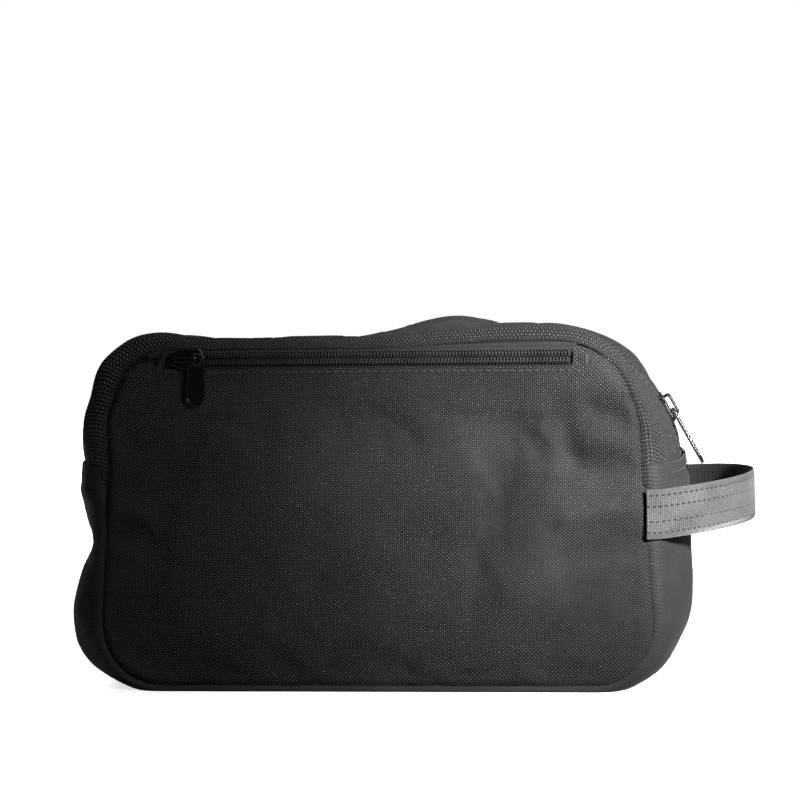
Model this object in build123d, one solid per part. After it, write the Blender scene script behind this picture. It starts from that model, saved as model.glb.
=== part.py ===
from build123d import *
import os
from functools import cache
from math import cos, hypot, radians, sin

# Shaving kit bag in coated canvas, in millimetres.
# Frame: +X to the handle side, -Y to the front, +Z up. The origin is on the floor, under the bag's middle.

# Driving dimensions of the shell
SEAM_Y = 50.0  # front and back seams stand this far from the middle
SEAM_BOTTOM = 3.0  # the panel seams clear the floor by this much
SEAM_TOP = 144.0
SEAM_HALF_BOTTOM = 118.0  # half widths of the panel outline, before its corners are rounded
SEAM_HALF_TOP = 108.5
SEAM_R_BOTTOM = 26.0
SEAM_R_TOP = 36.0
MID_HALF_BOTTOM = 130.5  # the gusset bulges to these half widths at the middle of the bag
MID_HALF_TOP = 123.8
MID_TOP = 144.5
MID_BOTTOM = -1.2  # cut flat at the floor
MID_R_BOTTOM = 36.0
MID_R_TOP = 60.0  # right corner, where the main slider runs
MID_R_TOP_LEFT = 44.0
PANEL_CROWN = 4.6  # the panels stand out this far at their middle
HEM_Z = 93.0  # top of the base gusset, where the zip strips begin

# Sheet thicknesses and the clearances between layers
FABRIC = 1.2
LINING = 0.4
TAPE = 0.6
PLY_GAP = 0.1

# Layers of the gusset, as depths below its outer face
TAPE_DEPTH = FABRIC + PLY_GAP
STRIP_LINING_DEPTH = TAPE_DEPTH + TAPE + 0.4
BASE_LINING_DEPTH = FABRIC + 0.4
BINDING_DEPTH = BASE_LINING_DEPTH + LINING + 0.2

# Zip chain, size 5 coil
CHAIN_HALF = 3.0
CHAIN_SLOT = 0.55  # the slider's wedge runs between the coil halves
COIL_HEIGHT = 1.8
TAPE_HALF = 12.0
MAIN_GAP = 5.0  # each canvas strip's folded edge stands this far from the chain's middle
LEAN = (MID_HALF_BOTTOM - MID_HALF_TOP) / (MID_TOP - MID_BOTTOM)
SHOULDER_Z = MID_TOP - MID_R_TOP  # centre of the zip's right corner arc
SIDE_X = MID_HALF_BOTTOM - LEAN * (SHOULDER_Z - MID_BOTTOM)
SHOULDER_X = SIDE_X - MID_R_TOP * hypot(1, LEAN)
LIP_X = SHOULDER_X - 2.0  # each lip is the straight run between the two corners
LIP_CUT = 0.25

# Slider and pull, in the chain's own frame: x along the chain, z away from the tape
SLIDER_HALF = 6.9
SLIDER_BLADE_Z = 2.1
BLADE = 1.0
FLANGE_Y = 3.4
FLANGE_FOOT = 0.35
LOWER_BLADE_Z = -2.15
LOWER_BLADE = 0.9
BAIL_HALF = 4.9
BAIL_POST = 1.2
BAIL_WIDTH = 2.2
BAIL_CLEAR = 2.1
BAIL_TOP = 1.1
PULL_THICK = 1.4
PULL_EYE = 1.6
PULL_Z = SLIDER_BLADE_Z + BLADE + BAIL_CLEAR / 2  # the pull's eye lies in the bail's gap
POST_X = BAIL_HALF - BAIL_POST / 2

MAIN_SLIDER_ANGLE = 29.0  # place of the main slider on the corner arc, from the horizontal
MAIN_PULL_LENGTH = 24.0
POCKET_PULL_LENGTH = 19.4
POCKET_PULL_HANG = 3.5  # the pull hangs this many degrees off plumb

# Front pocket
POCKET_Z = 138.9
POCKET_LEFT = -90.5
POCKET_RIGHT = 88.5
POCKET_COIL_LEFT = -84.0
POCKET_COIL_RIGHT = 83.0
POCKET_OPEN_Z = 134.0
POCKET_TAPE_Y = -(SEAM_Y + 1.0)
POCKET_SLIDER_X = -76.2
POCKET_BAG_HALF = 86.0
POCKET_BAG_BOTTOM = 24.0
POCKET_BAG_DEPTH = 2.1
POCKET_BAG_TOP = 139.5

# Handle: a webbing loop, round in plan
HANDLE_R = 52.9
HANDLE_X = 102.8  # centre of the loop's arc
HANDLE_Z = 74.0
WEBBING = 1.8
WEBBING_WIDTH = 20.5
HANDLE_END_X = 118.0
HANDLE_LOOP_X = 123.5
HANDLE_RISE = 5.5  # the loop rises this many degrees from its hinge line

BOARD_HALF_X = 90.0
BOARD_HALF_Y = 36.0
BOARD = 1.2
BINDING = 2.0

FAR = 400.0


def block(low, high):
    """A box between two corners; None stands for beyond the bag."""
    low = [-FAR if v is None else v for v in low]
    high = [FAR if v is None else v for v in high]
    size = [b - a for a, b in zip(low, high)]
    middle = [(a + b) / 2 for a, b in zip(low, high)]
    return Pos(*middle) * Box(*size)


def raise_up(face, height):
    """A solid raised from a flat face in the XY plane."""
    return extrude(face, height, dir=(0, 0, 1))


def rounded_outline(y, half_bottom, half_top, bottom, top, r_bottom, r_left, r_right):
    """A rounded trapezoid face at a place along the depth."""
    corners = [(-half_bottom, bottom), (half_bottom, bottom), (half_top, top), (-half_top, top)]
    face = Polygon(*corners, align=None)
    face = fillet(face.vertices().group_by(Axis.Y)[0], r_bottom)
    face = fillet(face.vertices().group_by(Axis.Y)[-1].sort_by(Axis.X)[:1], r_left)
    face = fillet(face.vertices().group_by(Axis.Y)[-1].sort_by(Axis.X)[-1:], r_right)
    return Plane.XZ.offset(-y) * face


def section(y, bulge, depth):
    """The gusset's outline at y, set in by depth. Bulge is 0 at a seam and 1 at the middle."""

    def between(seam, middle):
        return seam + bulge * (middle - seam)

    return rounded_outline(
        y,
        between(SEAM_HALF_BOTTOM, MID_HALF_BOTTOM) - depth,
        between(SEAM_HALF_TOP, MID_HALF_TOP) - depth,
        between(SEAM_BOTTOM, MID_BOTTOM) + depth,
        between(SEAM_TOP, MID_TOP) - depth,
        between(SEAM_R_BOTTOM, MID_R_BOTTOM) - depth,
        between(SEAM_R_TOP, MID_R_TOP_LEFT) - depth,
        between(SEAM_R_TOP, MID_R_TOP) - depth,
    )


@cache
def form(depth):
    """The bag's solid form between its seams, set in by depth, with a flat foot."""
    stations = [(SEAM_Y, 0.0), (SEAM_Y - 6, 0.45), (SEAM_Y - 22, 0.9)]
    profile = [(-y, bulge) for y, bulge in stations] + [(0.0, 1.0)] + stations[::-1]
    solid = loft([section(y, bulge, depth) for y, bulge in profile])
    return solid & block((None, None, depth), (None, None, None))


def layer(outer, inner):
    """The sheet of the gusset between two depths below its outer face."""
    return form(outer) - form(inner)


def chain_layer(outer, inner, y_low, y_high):
    """A flat-across sheet that follows the zip's path, between two depths."""

    def slab(depth):
        face = section(0, 1, depth)
        return Pos(0, y_high, 0) * extrude(face, y_high - y_low, dir=(0, -1, 0))

    return slab(outer) - slab(inner)


def lip_part(sheet):
    return sheet & block((-LIP_X, None, SHOULDER_Z), (LIP_X, None, None))


def shoulder_part(sheet):
    """What lies beyond the lip on both sides, down to the hem."""
    left = block((None, None, HEM_Z + PLY_GAP), (-LIP_X - LIP_CUT, None, None))
    right = block((LIP_X + LIP_CUT, None, HEM_Z + PLY_GAP), (None, None, None))
    return sheet & (left + right)


def crown(x, z):
    """How far a panel stands out from its seam plane."""
    across = 1 - (x / (SEAM_HALF_BOTTOM + 2)) ** 4
    middle = (SEAM_TOP + SEAM_BOTTOM) / 2
    upright = 1 - ((z - middle) / (SEAM_TOP - middle + 2)) ** 2
    return PANEL_CROWN * max(across, 0) * max(upright, 0)


def panel():
    """The front panel without its pocket: a crowned sheet just outside the front seam."""
    columns = [SEAM_HALF_BOTTOM * i / 4 for i in range(-4, 5)]
    rows = [SEAM_BOTTOM + (SEAM_TOP - SEAM_BOTTOM) * i / 8 for i in range(9)]
    inner_y = -(SEAM_Y + PLY_GAP)
    grid = [[Vector(x, inner_y - crown(x, z), z) for z in rows] for x in columns]
    face = Face.make_surface_from_array_of_points(grid)
    sheet = extrude(face, FABRIC, dir=(0, -1, 0))
    outline = extrude(section(-SEAM_Y, 0, 0.05), 4 * PANEL_CROWN, dir=(0, -1, 0))
    return sheet & outline


def front_panel():
    notch = block((POCKET_LEFT, None, POCKET_OPEN_Z), (POCKET_RIGHT, -SEAM_Y, None))
    return panel() - notch


def back_panel():
    return panel().mirror(Plane.XZ)


def base_gusset():
    return layer(0, FABRIC) & block((None, None, None), (None, None, HEM_Z))


def base_lining():
    sheet = layer(BASE_LINING_DEPTH, BASE_LINING_DEPTH + LINING)
    return sheet & block((None, 3 - SEAM_Y, None), (None, SEAM_Y - 3, HEM_Z))


def front_strip():
    """The canvas strip between the front seam and the main zip."""
    return layer(0, FABRIC) & block((None, None, HEM_Z), (None, -MAIN_GAP, None))


def front_tape():
    return chain_layer(TAPE_DEPTH, TAPE_DEPTH + TAPE, -TAPE_HALF, -CHAIN_SLOT)


def front_coil():
    return chain_layer(TAPE_DEPTH - COIL_HEIGHT, TAPE_DEPTH, -CHAIN_HALF, -CHAIN_SLOT)


def front_strip_lining():
    sheet = layer(STRIP_LINING_DEPTH, STRIP_LINING_DEPTH + LINING)
    return sheet & block((None, 6 - SEAM_Y, HEM_Z), (None, -8, None))


def both_sides(front):
    """A sheet and its mirror image across the zip."""
    return front + front.mirror(Plane.XZ)


def panel_lining():
    """A flat lining sheet behind the front panel."""
    place = section(-(SEAM_Y - 2.8), 0, BASE_LINING_DEPTH)
    return extrude(place, LINING, dir=(0, 1, 0))


def seam_binding():
    """The tape that binds the raw edges of the front seam, inside the bag."""
    y = -(SEAM_Y - 3.2)
    ring = section(y, 0, BINDING_DEPTH) - section(y, 0, BINDING_DEPTH + BINDING)
    return extrude(ring, BINDING, dir=(0, 1, 0))


def base_board():
    foot = BASE_LINING_DEPTH + LINING + 0.2
    board = block((-BOARD_HALF_X, -BOARD_HALF_Y, foot), (BOARD_HALF_X, BOARD_HALF_Y, foot + BOARD))
    return fillet(board.edges().filter_by(Axis.Z), 10)


def pocket_bag():
    """The pouch hung from the pocket zip: two plies joined at the sides and foot, open to the zip."""
    front = -(SEAM_Y + 0.2)
    back = front + POCKET_BAG_DEPTH
    ply = LINING
    outer = block((-POCKET_BAG_HALF, front, POCKET_BAG_BOTTOM), (POCKET_BAG_HALF, back, POCKET_BAG_TOP))
    low = (ply - POCKET_BAG_HALF, front + ply, POCKET_BAG_BOTTOM + ply)
    inner = block(low, (POCKET_BAG_HALF - ply, back - ply, None))
    mouth = block((None, None, POCKET_OPEN_Z - 4), (None, back - ply, None))
    return outer - inner - mouth


def pocket_tape(side):
    """Half of the pocket zip's tape: side 1 is the upper half and -1 the lower."""
    reach = SEAM_TOP - 0.2 - POCKET_Z if side > 0 else 8.4
    edges = sorted([POCKET_Z + side * CHAIN_SLOT, POCKET_Z + side * reach])
    low = (POCKET_LEFT + PLY_GAP, POCKET_TAPE_Y, edges[0])
    tape = block(low, (POCKET_RIGHT - PLY_GAP, POCKET_TAPE_Y + TAPE, edges[1]))
    return tape & extrude(section(-SEAM_Y, 0, PLY_GAP), 2 * PANEL_CROWN, dir=(0, -1, 0))


def pocket_coil(side):
    edges = sorted([POCKET_Z + side * CHAIN_SLOT, POCKET_Z + side * CHAIN_HALF])
    low = (POCKET_COIL_LEFT, POCKET_TAPE_Y - COIL_HEIGHT, edges[0])
    return block(low, (POCKET_COIL_RIGHT, POCKET_TAPE_Y, edges[1]))


def slider():
    """A coil zip slider: two blades on a wedge, side flanges and the bail for the pull."""
    wide = FLANGE_Y + 0.8
    half = [(-SLIDER_HALF, 2.5), (-1.5, wide), (5.0, wide), (SLIDER_HALF, 3.3)]
    outline = Polygon(*half, *[(x, -y) for x, y in half[::-1]], align=None)
    outline = fillet(outline.vertices(), 1.2)
    blade_top = SLIDER_BLADE_Z + BLADE
    body = Pos(0, 0, FLANGE_FOOT) * raise_up(outline, blade_top - FLANGE_FOOT)
    body = fillet(body.edges().group_by(Axis.Z)[-1], 0.45)
    body -= block((None, -FLANGE_Y, None), (None, FLANGE_Y, SLIDER_BLADE_Z))
    lower = Pos(0, 0, LOWER_BLADE_Z) * raise_up(offset(outline, -0.8), LOWER_BLADE)
    wedge = block((2.0, -0.35, LOWER_BLADE_Z), (5.0, 0.35, blade_top))
    return body + lower + wedge + bail(blade_top)


def bail(foot):
    """The arch over the upper blade that holds the pull."""
    rise = BAIL_CLEAR + BAIL_TOP
    arch = Pos(0, (rise - 1) / 2) * Rectangle(2 * BAIL_HALF, rise + 1)
    arch = fillet(arch.vertices().group_by(Axis.Y)[-1], 1.5)
    gap = Pos(0, BAIL_CLEAR / 2) * Rectangle(2 * (BAIL_HALF - BAIL_POST), BAIL_CLEAR)
    gap = fillet(gap.vertices().group_by(Axis.Y)[-1], 0.6)
    profile = Plane.XZ * (arch - gap)
    strap = Pos(0, BAIL_WIDTH / 2, 0) * extrude(profile, BAIL_WIDTH, dir=(0, -1, 0))
    top = strap.edges().group_by(Axis.Z)[-1].filter_by(Axis.X)
    strap = fillet(top, 0.35)
    return Pos(0, 0, foot) * strap & block((None, None, SLIDER_BLADE_Z + 0.2), (None, None, None))


def pull(length):
    """A flat pull tab with its eye's middle at the origin, reaching along +x."""
    eye_back = PULL_EYE + 1.1
    half = [(-eye_back, 3.3), (length, 4.4)]
    outline = Polygon(*half, *[(x, -y) for x, y in half[::-1]], align=None)
    outline = fillet(outline.vertices().group_by(Axis.X)[0], 2.2)
    outline = fillet(outline.vertices().group_by(Axis.X)[-1], 3.8)
    tab = Pos(0, 0, -PULL_THICK / 2) * raise_up(outline, PULL_THICK)
    tab = fillet(tab.edges().group_by(Axis.Z)[-1], 0.4)
    eye = SlotOverall(2 * PULL_EYE + 0.2, 2 * (PULL_EYE - 0.1))
    tab -= Pos(0, 0, -PULL_THICK) * raise_up(eye, 2 * PULL_THICK)
    rim = offset(outline, -1.1) & (Pos(length / 2 + 2.4, 0) * Rectangle(length, 20))
    rim = fillet(rim.vertices().group_by(Axis.X)[0], 0.8)
    for face_z in (PULL_THICK / 2 - 0.25, -PULL_THICK / 2 - 0.75):
        tab -= Pos(0, 0, face_z) * raise_up(rim, 1.0)
    return tab


def main_chain_place(angle):
    """The chain's frame on the right corner arc: x runs down the bag's side, z away from it."""
    a = radians(angle)
    r = MID_R_TOP - TAPE_DEPTH
    origin = (SHOULDER_X + r * cos(a), 0, SHOULDER_Z + r * sin(a))
    return Plane(origin=origin, x_dir=(sin(a), 0, -cos(a)), z_dir=(cos(a), 0, sin(a)))


def pocket_chain_place():
    """The chain's frame at the pocket slider: x to the right, z out of the panel."""
    origin = (POCKET_SLIDER_X, POCKET_TAPE_Y, POCKET_Z)
    return Plane(origin=origin, x_dir=(1, 0, 0), z_dir=(0, -1, 0))


def main_pull():
    tab = Pos(POST_X, 0, PULL_Z) * pull(MAIN_PULL_LENGTH)
    return main_chain_place(MAIN_SLIDER_ANGLE) * tab


def pocket_pull():
    tab = Pos(POST_X, 0, PULL_Z) * Rot(0, 0, -90 - POCKET_PULL_HANG) * pull(POCKET_PULL_LENGTH)
    return pocket_chain_place() * tab


def handle_ring():
    outer = Cylinder(HANDLE_R + WEBBING / 2, WEBBING_WIDTH)
    inner = Cylinder(HANDLE_R - WEBBING / 2, WEBBING_WIDTH)
    return Pos(HANDLE_X, 0, HANDLE_Z) * (outer - inner)


def handle_ends():
    """The stubs of webbing sewn into the front and back seams."""
    return handle_ring() & block((SEAM_HALF_BOTTOM - 3, None, None), (HANDLE_END_X, None, None))


def handle_loop():
    loop = handle_ring() & block((HANDLE_LOOP_X, None, None), (None, None, None))
    line = Axis((HANDLE_END_X, 0, HANDLE_Z), (0, -1, 0))
    return loop.rotate(line, HANDLE_RISE)


def parts():
    """Every node and its solid."""
    strip, tape, coil = front_strip(), front_tape(), front_coil()
    strip_lining, lining, binding = front_strip_lining(), panel_lining(), seam_binding()
    main_place = main_chain_place(MAIN_SLIDER_ANGLE)
    made = {
        "front_panel": front_panel(),
        "back_panel": back_panel(),
        "base_gusset": base_gusset(),
        "base_lining": base_lining(),
        "base_board": base_board(),
        "front_lining": lining,
        "back_lining": lining.mirror(Plane.XZ),
        "front_seam_binding": binding,
        "back_seam_binding": binding.mirror(Plane.XZ),
        "front_shoulder_gussets": shoulder_part(strip),
        "back_shoulder_gussets": shoulder_part(strip.mirror(Plane.XZ)),
        "shoulder_linings": shoulder_part(both_sides(strip_lining)),
        "main_tape_shoulders": shoulder_part(both_sides(tape)),
        "main_coil_shoulders": shoulder_part(both_sides(coil)),
        "pocket_bag": pocket_bag(),
        "pocket_tape_upper": pocket_tape(1),
        "pocket_tape_lower": pocket_tape(-1),
        "pocket_coil_upper": pocket_coil(1),
        "pocket_coil_lower": pocket_coil(-1),
        "main_slider": main_place * slider(),
        "main_pull": main_pull(),
        "pocket_slider": pocket_chain_place() * slider(),
        "pocket_pull": pocket_pull(),
        "handle_ends": handle_ends(),
        "handle_loop": handle_loop(),
    }
    sheets = {"gusset": strip, "tape": tape, "coil": coil, "lining": strip_lining}
    for name, sheet in sheets.items():
        made[f"front_lip_{name}"] = lip_part(sheet)
        made[f"back_lip_{name}"] = lip_part(sheet).mirror(Plane.XZ)
    return made


def main():
    os.makedirs("parts", exist_ok=True)
    for name, solid in parts().items():
        export_step(solid, f"parts/{name}.step")


main()
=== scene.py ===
"""Looks of the shaving kit bag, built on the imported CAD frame. Lengths are in millimetres until a mesh is made."""
import math
import bpy
import numpy as np
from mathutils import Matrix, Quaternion, Vector
from mathutils.bvhtree import BVHTree
from mathutils.geometry import delaunay_2d_cdt


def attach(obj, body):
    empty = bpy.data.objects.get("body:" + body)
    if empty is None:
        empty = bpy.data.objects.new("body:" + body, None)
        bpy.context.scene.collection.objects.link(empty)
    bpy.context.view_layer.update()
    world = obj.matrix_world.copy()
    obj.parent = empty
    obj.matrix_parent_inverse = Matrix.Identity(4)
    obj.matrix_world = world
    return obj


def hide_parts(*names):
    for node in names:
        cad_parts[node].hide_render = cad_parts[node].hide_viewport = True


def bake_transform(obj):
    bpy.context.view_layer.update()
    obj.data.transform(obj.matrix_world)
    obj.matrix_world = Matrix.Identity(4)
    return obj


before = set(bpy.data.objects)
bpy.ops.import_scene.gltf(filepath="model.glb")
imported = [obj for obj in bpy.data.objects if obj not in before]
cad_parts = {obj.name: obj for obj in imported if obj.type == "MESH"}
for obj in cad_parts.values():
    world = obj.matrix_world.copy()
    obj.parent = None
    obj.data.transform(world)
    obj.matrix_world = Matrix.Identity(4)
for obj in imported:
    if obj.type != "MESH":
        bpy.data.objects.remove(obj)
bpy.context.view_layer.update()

MM = 0.001

# The shell, as the CAD part has it
SEAM_Y = 50.0
SEAM_BOTTOM, SEAM_TOP = 3.0, 144.0
SEAM_HALF_BOTTOM, SEAM_HALF_TOP = 118.0, 108.5
SEAM_R_BOTTOM, SEAM_R_TOP = 26.0, 36.0
MID_BOTTOM, MID_TOP = -1.2, 144.5
MID_HALF_BOTTOM, MID_HALF_TOP = 130.5, 123.8
MID_R_BOTTOM = 36.0
MID_R_TOP = {1: 60.0, -1: 44.0}  # right and left corner
HEM_Z = 93.0
FABRIC = 1.2
LINING = 0.4
TAPE_DEPTH = 1.3
TAPE = 0.6
POCKET_Z = 138.9
POCKET_TAPE_Y = -51.0
HANDLE_X, HANDLE_R, HANDLE_Z = 102.8, 52.9, 74.0
HANDLE_HINGE_X = 118.0
HANDLE_RISE = math.radians(5.5)
WEBBING_WIDTH = 20.5

# Looks only
SLOT_LEFT, SLOT_RIGHT, SLOT_Z = -91.0, 82.9, 135.0
TOOTH_PITCH = 1.35
ZIP_EDGE = 5.0  # the canvas strips stop this far from the chain's middle
ROLL = 2.2  # the rolled edge beside each seam stands this proud
BASE_SAG = 2.3  # the front and back seams settle this far at the bottom
COIL_WIRE, COIL_CORD = 0.36, 0.5  # radii of the spiral and of the cord inside it
CORD_UP, CORD_ACROSS = 0.85, 1.7  # the cord's place from the tape and from the chain's middle
STITCH, STITCH_GAP, THREAD = 3.3, 0.7, 0.27  # pitch, gap and thread radius
SHEET_NET = 4.5  # point spacing in the linings and the pouch


# ------------ meshes

def new_object(name, data):
    obj = bpy.data.objects.new(name, data)
    bpy.context.scene.collection.objects.link(obj)
    return obj


def lengths(vectors):
    return np.linalg.norm(vectors, axis=1, keepdims=True)


def mesh_object(name, points, faces, uv=None):
    """A mesh piece from millimetre points and faces. uv has one row per point, in millimetres."""
    points = np.asarray(points, float)
    mesh = bpy.data.meshes.new(name)
    sizes = np.array([len(f) for f in faces], np.int32)
    loops = np.concatenate([np.asarray(f, np.int32) for f in faces])
    mesh.vertices.add(len(points))
    mesh.vertices.foreach_set("co", (points * MM).astype(np.float32).ravel())
    mesh.loops.add(len(loops))
    mesh.loops.foreach_set("vertex_index", loops)
    mesh.polygons.add(len(sizes))
    starts = np.concatenate([[0], np.cumsum(sizes)[:-1]]).astype(np.int32)
    mesh.polygons.foreach_set("loop_start", starts)
    mesh.update(calc_edges=True)
    if uv is None:
        uv = np.zeros((len(points), 2))
    layer = mesh.uv_layers.new(name="cloth")
    layer.data.foreach_set("uv", np.asarray(uv, np.float32)[loops].ravel())
    mesh.polygons.foreach_set("use_smooth", np.ones(len(sizes), bool))
    mesh.validate()
    mesh.set_sharp_from_angle(angle=math.radians(50))
    return new_object(name, mesh)


def grid_faces(n, m, ring=False):
    """Quads of an n by m grid of points; ring joins the last column of each row to the first."""
    i = np.arange(n - 1)[:, None]
    j = np.arange(m if ring else m - 1)[None, :]
    k = (j + 1) % m
    return np.stack([i * m + j, (i + 1) * m + j, (i + 1) * m + k, i * m + k], -1).reshape(-1, 4)


def vertex_normals(points, faces):
    """Area-weighted unit normals of a quad or triangle mesh."""
    faces = np.asarray(faces)
    corner = points[faces[:, 0]]
    normal = np.cross(points[faces[:, 1]] - corner, points[faces[:, 2]] - corner)
    if faces.shape[1] == 4:
        normal += np.cross(points[faces[:, 2]] - corner, points[faces[:, 3]] - corner)
    total = np.zeros_like(points)
    for k in range(faces.shape[1]):
        np.add.at(total, faces[:, k], normal)
    return total / np.maximum(lengths(total), 1e-9)


def rim_edges(faces):
    edges = {(int(a), int(b)) for f in faces for a, b in zip(f, np.roll(f, -1))}
    return [(a, b) for a, b in edges if (b, a) not in edges]


def thicken(points, faces, uv, thickness):
    """A sheet given an inner face and a closed rim. Normals point out of the outer face."""
    faces = np.asarray(faces)
    n = len(points)
    inner = points - vertex_normals(points, faces) * thickness
    side = [(b, a, a + n, b + n) for a, b in sorted(rim_edges(faces))]
    all_faces = [tuple(f) for f in faces] + [tuple(f) for f in faces[:, ::-1] + n] + side
    return np.vstack([points, inner]), all_faces, np.vstack([uv, uv])


def join(parts):
    """One set of points, faces and uv from many."""
    points, faces, uvs, start = [], [], [], 0
    for p, f, uv in parts:
        points.append(p)
        uvs.append(uv)
        faces += [tuple(int(k) + start for k in face) for face in f]
        start += len(p)
    return np.vstack(points), faces, np.vstack(uvs)


def run_of(path):
    """How far along a path each of its points lies."""
    return np.concatenate([[0], np.cumsum(np.linalg.norm(np.diff(path, axis=0), axis=1))])


def at(t, s, values):
    """Rows of values, known at the places s, read at the places t."""
    return np.stack([np.interp(t, s, values[:, k]) for k in range(values.shape[1])], 1)


def resample(path, count):
    """A path as evenly spaced points."""
    s = run_of(path)
    return at(np.linspace(0, s[-1], count), s, path)


def uv_grid(along, across):
    return np.stack(np.broadcast_arrays(along[:, None], across[None, :]), -1).reshape(-1, 2)


def facing(points, faces, outward, k=None):
    """The faces, turned so that the sheet's outer face looks along outward at point k, or at its middle."""
    normal = vertex_normals(points, faces)[len(points) // 2 if k is None else k]
    return faces if normal @ outward > 0 else faces[:, ::-1]


def smooth(t):
    t = np.clip(t, 0, 1)
    return t * t * (3 - 2 * t)


def bell(d, width):
    return np.exp(-((d / width) ** 2))


# ------------ the gusset's form

def rounded_corner(before, corner, after, radius, count):
    """Points of the arc that rounds a corner of a path which turns left."""
    a = (corner - before) / np.linalg.norm(corner - before)
    b = (after - corner) / np.linalg.norm(after - corner)
    turn = math.acos(np.clip(a @ b, -1, 1))
    start = corner - a * radius * math.tan(turn / 2)
    spoke = np.array([a[1], -a[0]]) * radius
    centre = start - spoke
    t = np.linspace(0, turn, count)[:, None]
    return centre + np.cos(t) * spoke + np.sin(t) * np.array([-spoke[1], spoke[0]])


def half_outline(bulge, inset=0.0, side=1):
    """The outline's right half, from the bottom's middle to the top's middle. side -1 is the left half, mirrored."""

    def between(seam, middle):
        return seam + bulge * (middle - seam)

    bottom = between(SEAM_BOTTOM, MID_BOTTOM) + inset
    top = between(SEAM_TOP, MID_TOP) - inset
    a = np.array([between(SEAM_HALF_BOTTOM, MID_HALF_BOTTOM) - inset, bottom])
    b = np.array([between(SEAM_HALF_TOP, MID_HALF_TOP) - inset, top])
    start, end = np.array([0, bottom]), np.array([0, top])
    low = rounded_corner(start, a, b, between(SEAM_R_BOTTOM, MID_R_BOTTOM) - inset, 60)
    high = rounded_corner(a, b, end, between(SEAM_R_TOP, MID_R_TOP[side]) - inset, 80)
    path = np.vstack([start, low, high, end])
    path[:, 1] = np.maximum(path[:, 1], max(inset, 0.0))
    return resample(path, 1500)


def bulge_at(y):
    """How far the gusset swells at a place across the bag: 0 at a seam, 1 at the middle."""
    t = min(abs(y) / SEAM_Y, 1.0)
    return (1 - t**2.4) ** (1 / 2.4)


def front_rise(x):
    """How far the front top edge stands above its CAD height."""
    return 0.8 + 4.6 * smooth((x + 10) / 75)


def seam_rise(x):
    """How far the front seam itself stands above its CAD height at the top."""
    return -1.6 + 2.9 * smooth((x + 10) / 75)


def soften(p):
    """The sag, pinches and lifts of the filled bag, the same for every layer."""
    p = np.array(p, float)
    x, y, z = p[:, 0].copy(), p[:, 1].copy(), p[:, 2].copy()
    side = np.sign(x)
    far = np.abs(x)
    deep = np.abs(y)
    # the roll beside each seam, fuller round the top corners
    corner = smooth((far - 72) / 26) * smooth((z - 92) / 26)
    left = x < 0
    low = smooth((134 - z) / 14)
    corner_roll = np.where(left, 8.0 - 4.8 * low, 3.0 * (1 - low))
    roll = (ROLL * smooth((z - 96) / 24) * (1 - corner) + corner_roll * corner) * bell(deep - 45.5, 5.2)
    roll += 1.2 * corner * left * smooth((46 - deep) / 10)
    centre_x, centre_z = side * np.minimum(far, 70), np.minimum(z, 106)
    out = np.stack([x - centre_x, z - centre_z], 1)
    out /= np.maximum(lengths(out), 1e-6)
    p[:, 0] += out[:, 0] * roll
    p[:, 2] += out[:, 1] * roll
    # the left side folds in below its hem, the right side swells low down
    seam_half = SEAM_HALF_BOTTOM - 0.067 * (z - SEAM_BOTTOM)
    swell = np.maximum(far - seam_half, 0)
    pinch = (x < 0) * (0.42 * bell(z - 62, 13) - 0.20 * bell(z - 32, 13)) + (x > 0) * 0.08 * bell(z - 50, 24)
    p[:, 0] -= side * swell * pinch
    # the base's long edges settle onto the table
    p[:, 2] -= BASE_SAG * (1 - smooth((z - 2) / 28)) * smooth((deep - 28) / 16)
    full = np.where(left, 5.6 * bell(z - 12, 14), 2.2 * bell(z - 7, 9))
    p[:, 0] += side * full * smooth((47 - deep) / 14) * smooth((far - 96) / 16)
    # the front edge rises to the right, the back edge sags but for one hump, the middle hangs between them
    front = 1 - smooth((y + 42) / 34)
    back = smooth((y + 8) / 50)
    at_seam = 1 - smooth((50 - deep) / 3.5)
    rise = front * (front_rise(x) * (1 - at_seam) + seam_rise(x) * at_seam)
    p[:, 1] += np.sign(-y) * -1.5 * bell(deep - 47.6, 2.4) * smooth((z - 118) / 16) * (y < 0)
    rise += back * (-5.3 + 9.6 * bell(x - 28, 32) + 4.4 * smooth((x - 45) / 30))
    rise += (1 - front - back) * -1.8 * smooth((30 - x) / 50)
    chain = smooth((x - 56) / 10) * (1 - smooth((deep - 13) / 20))
    p[:, 2] += rise * smooth((z - 112) / 24) * smooth((118 - far) / 34) * (1 - chain)
    return p


def gusset_grid(stations, z_from, z_to, count, side, inset=0.0):
    """Grid of points over one half of the gusset, before it softens, with its uv.

    Rows run along the outline from height z_from to z_to; None stands for the bottom's or the top's middle.
    stations is a list of (y, bulge, extra inset)."""
    columns, uvs, across, last = [], [], 0.0, None
    for y, bulge, extra in stations:
        path = half_outline(bulge, inset + extra, side)
        arc = run_of(path)
        low = 0.0 if z_from is None else np.interp(z_from, path[:, 1], arc)
        high = arc[-1] if z_to is None else np.interp(z_to, path[:, 1], arc)
        t = np.linspace(low, high, count)
        here = np.stack([side * np.interp(t, arc, path[:, 0]), np.full(count, y), np.interp(t, arc, path[:, 1])], 1)
        if last is not None:
            across += np.median(np.linalg.norm(here - last, axis=1))
        last = here
        columns.append(here)
        uvs.append(np.stack([t - (arc[-1] if z_to is None else 0), np.full(count, across)], 1))
    return np.stack(columns, 1), np.stack(uvs, 1)


def seam_stations():
    """From inside the front seam to just past the roll."""
    rows = [(-47.4, 0.0, 4.2), (-48.8, 0.0, 2.6), (-49.7, 0.0, 1.1), (-50.0, 0.06, 0.2)]
    return rows + [(y, bulge_at(y), 0.0) for y in (-49.7, -49.2, -48.4, -47.3, -45.8, -44.0, -41.5)]


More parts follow.
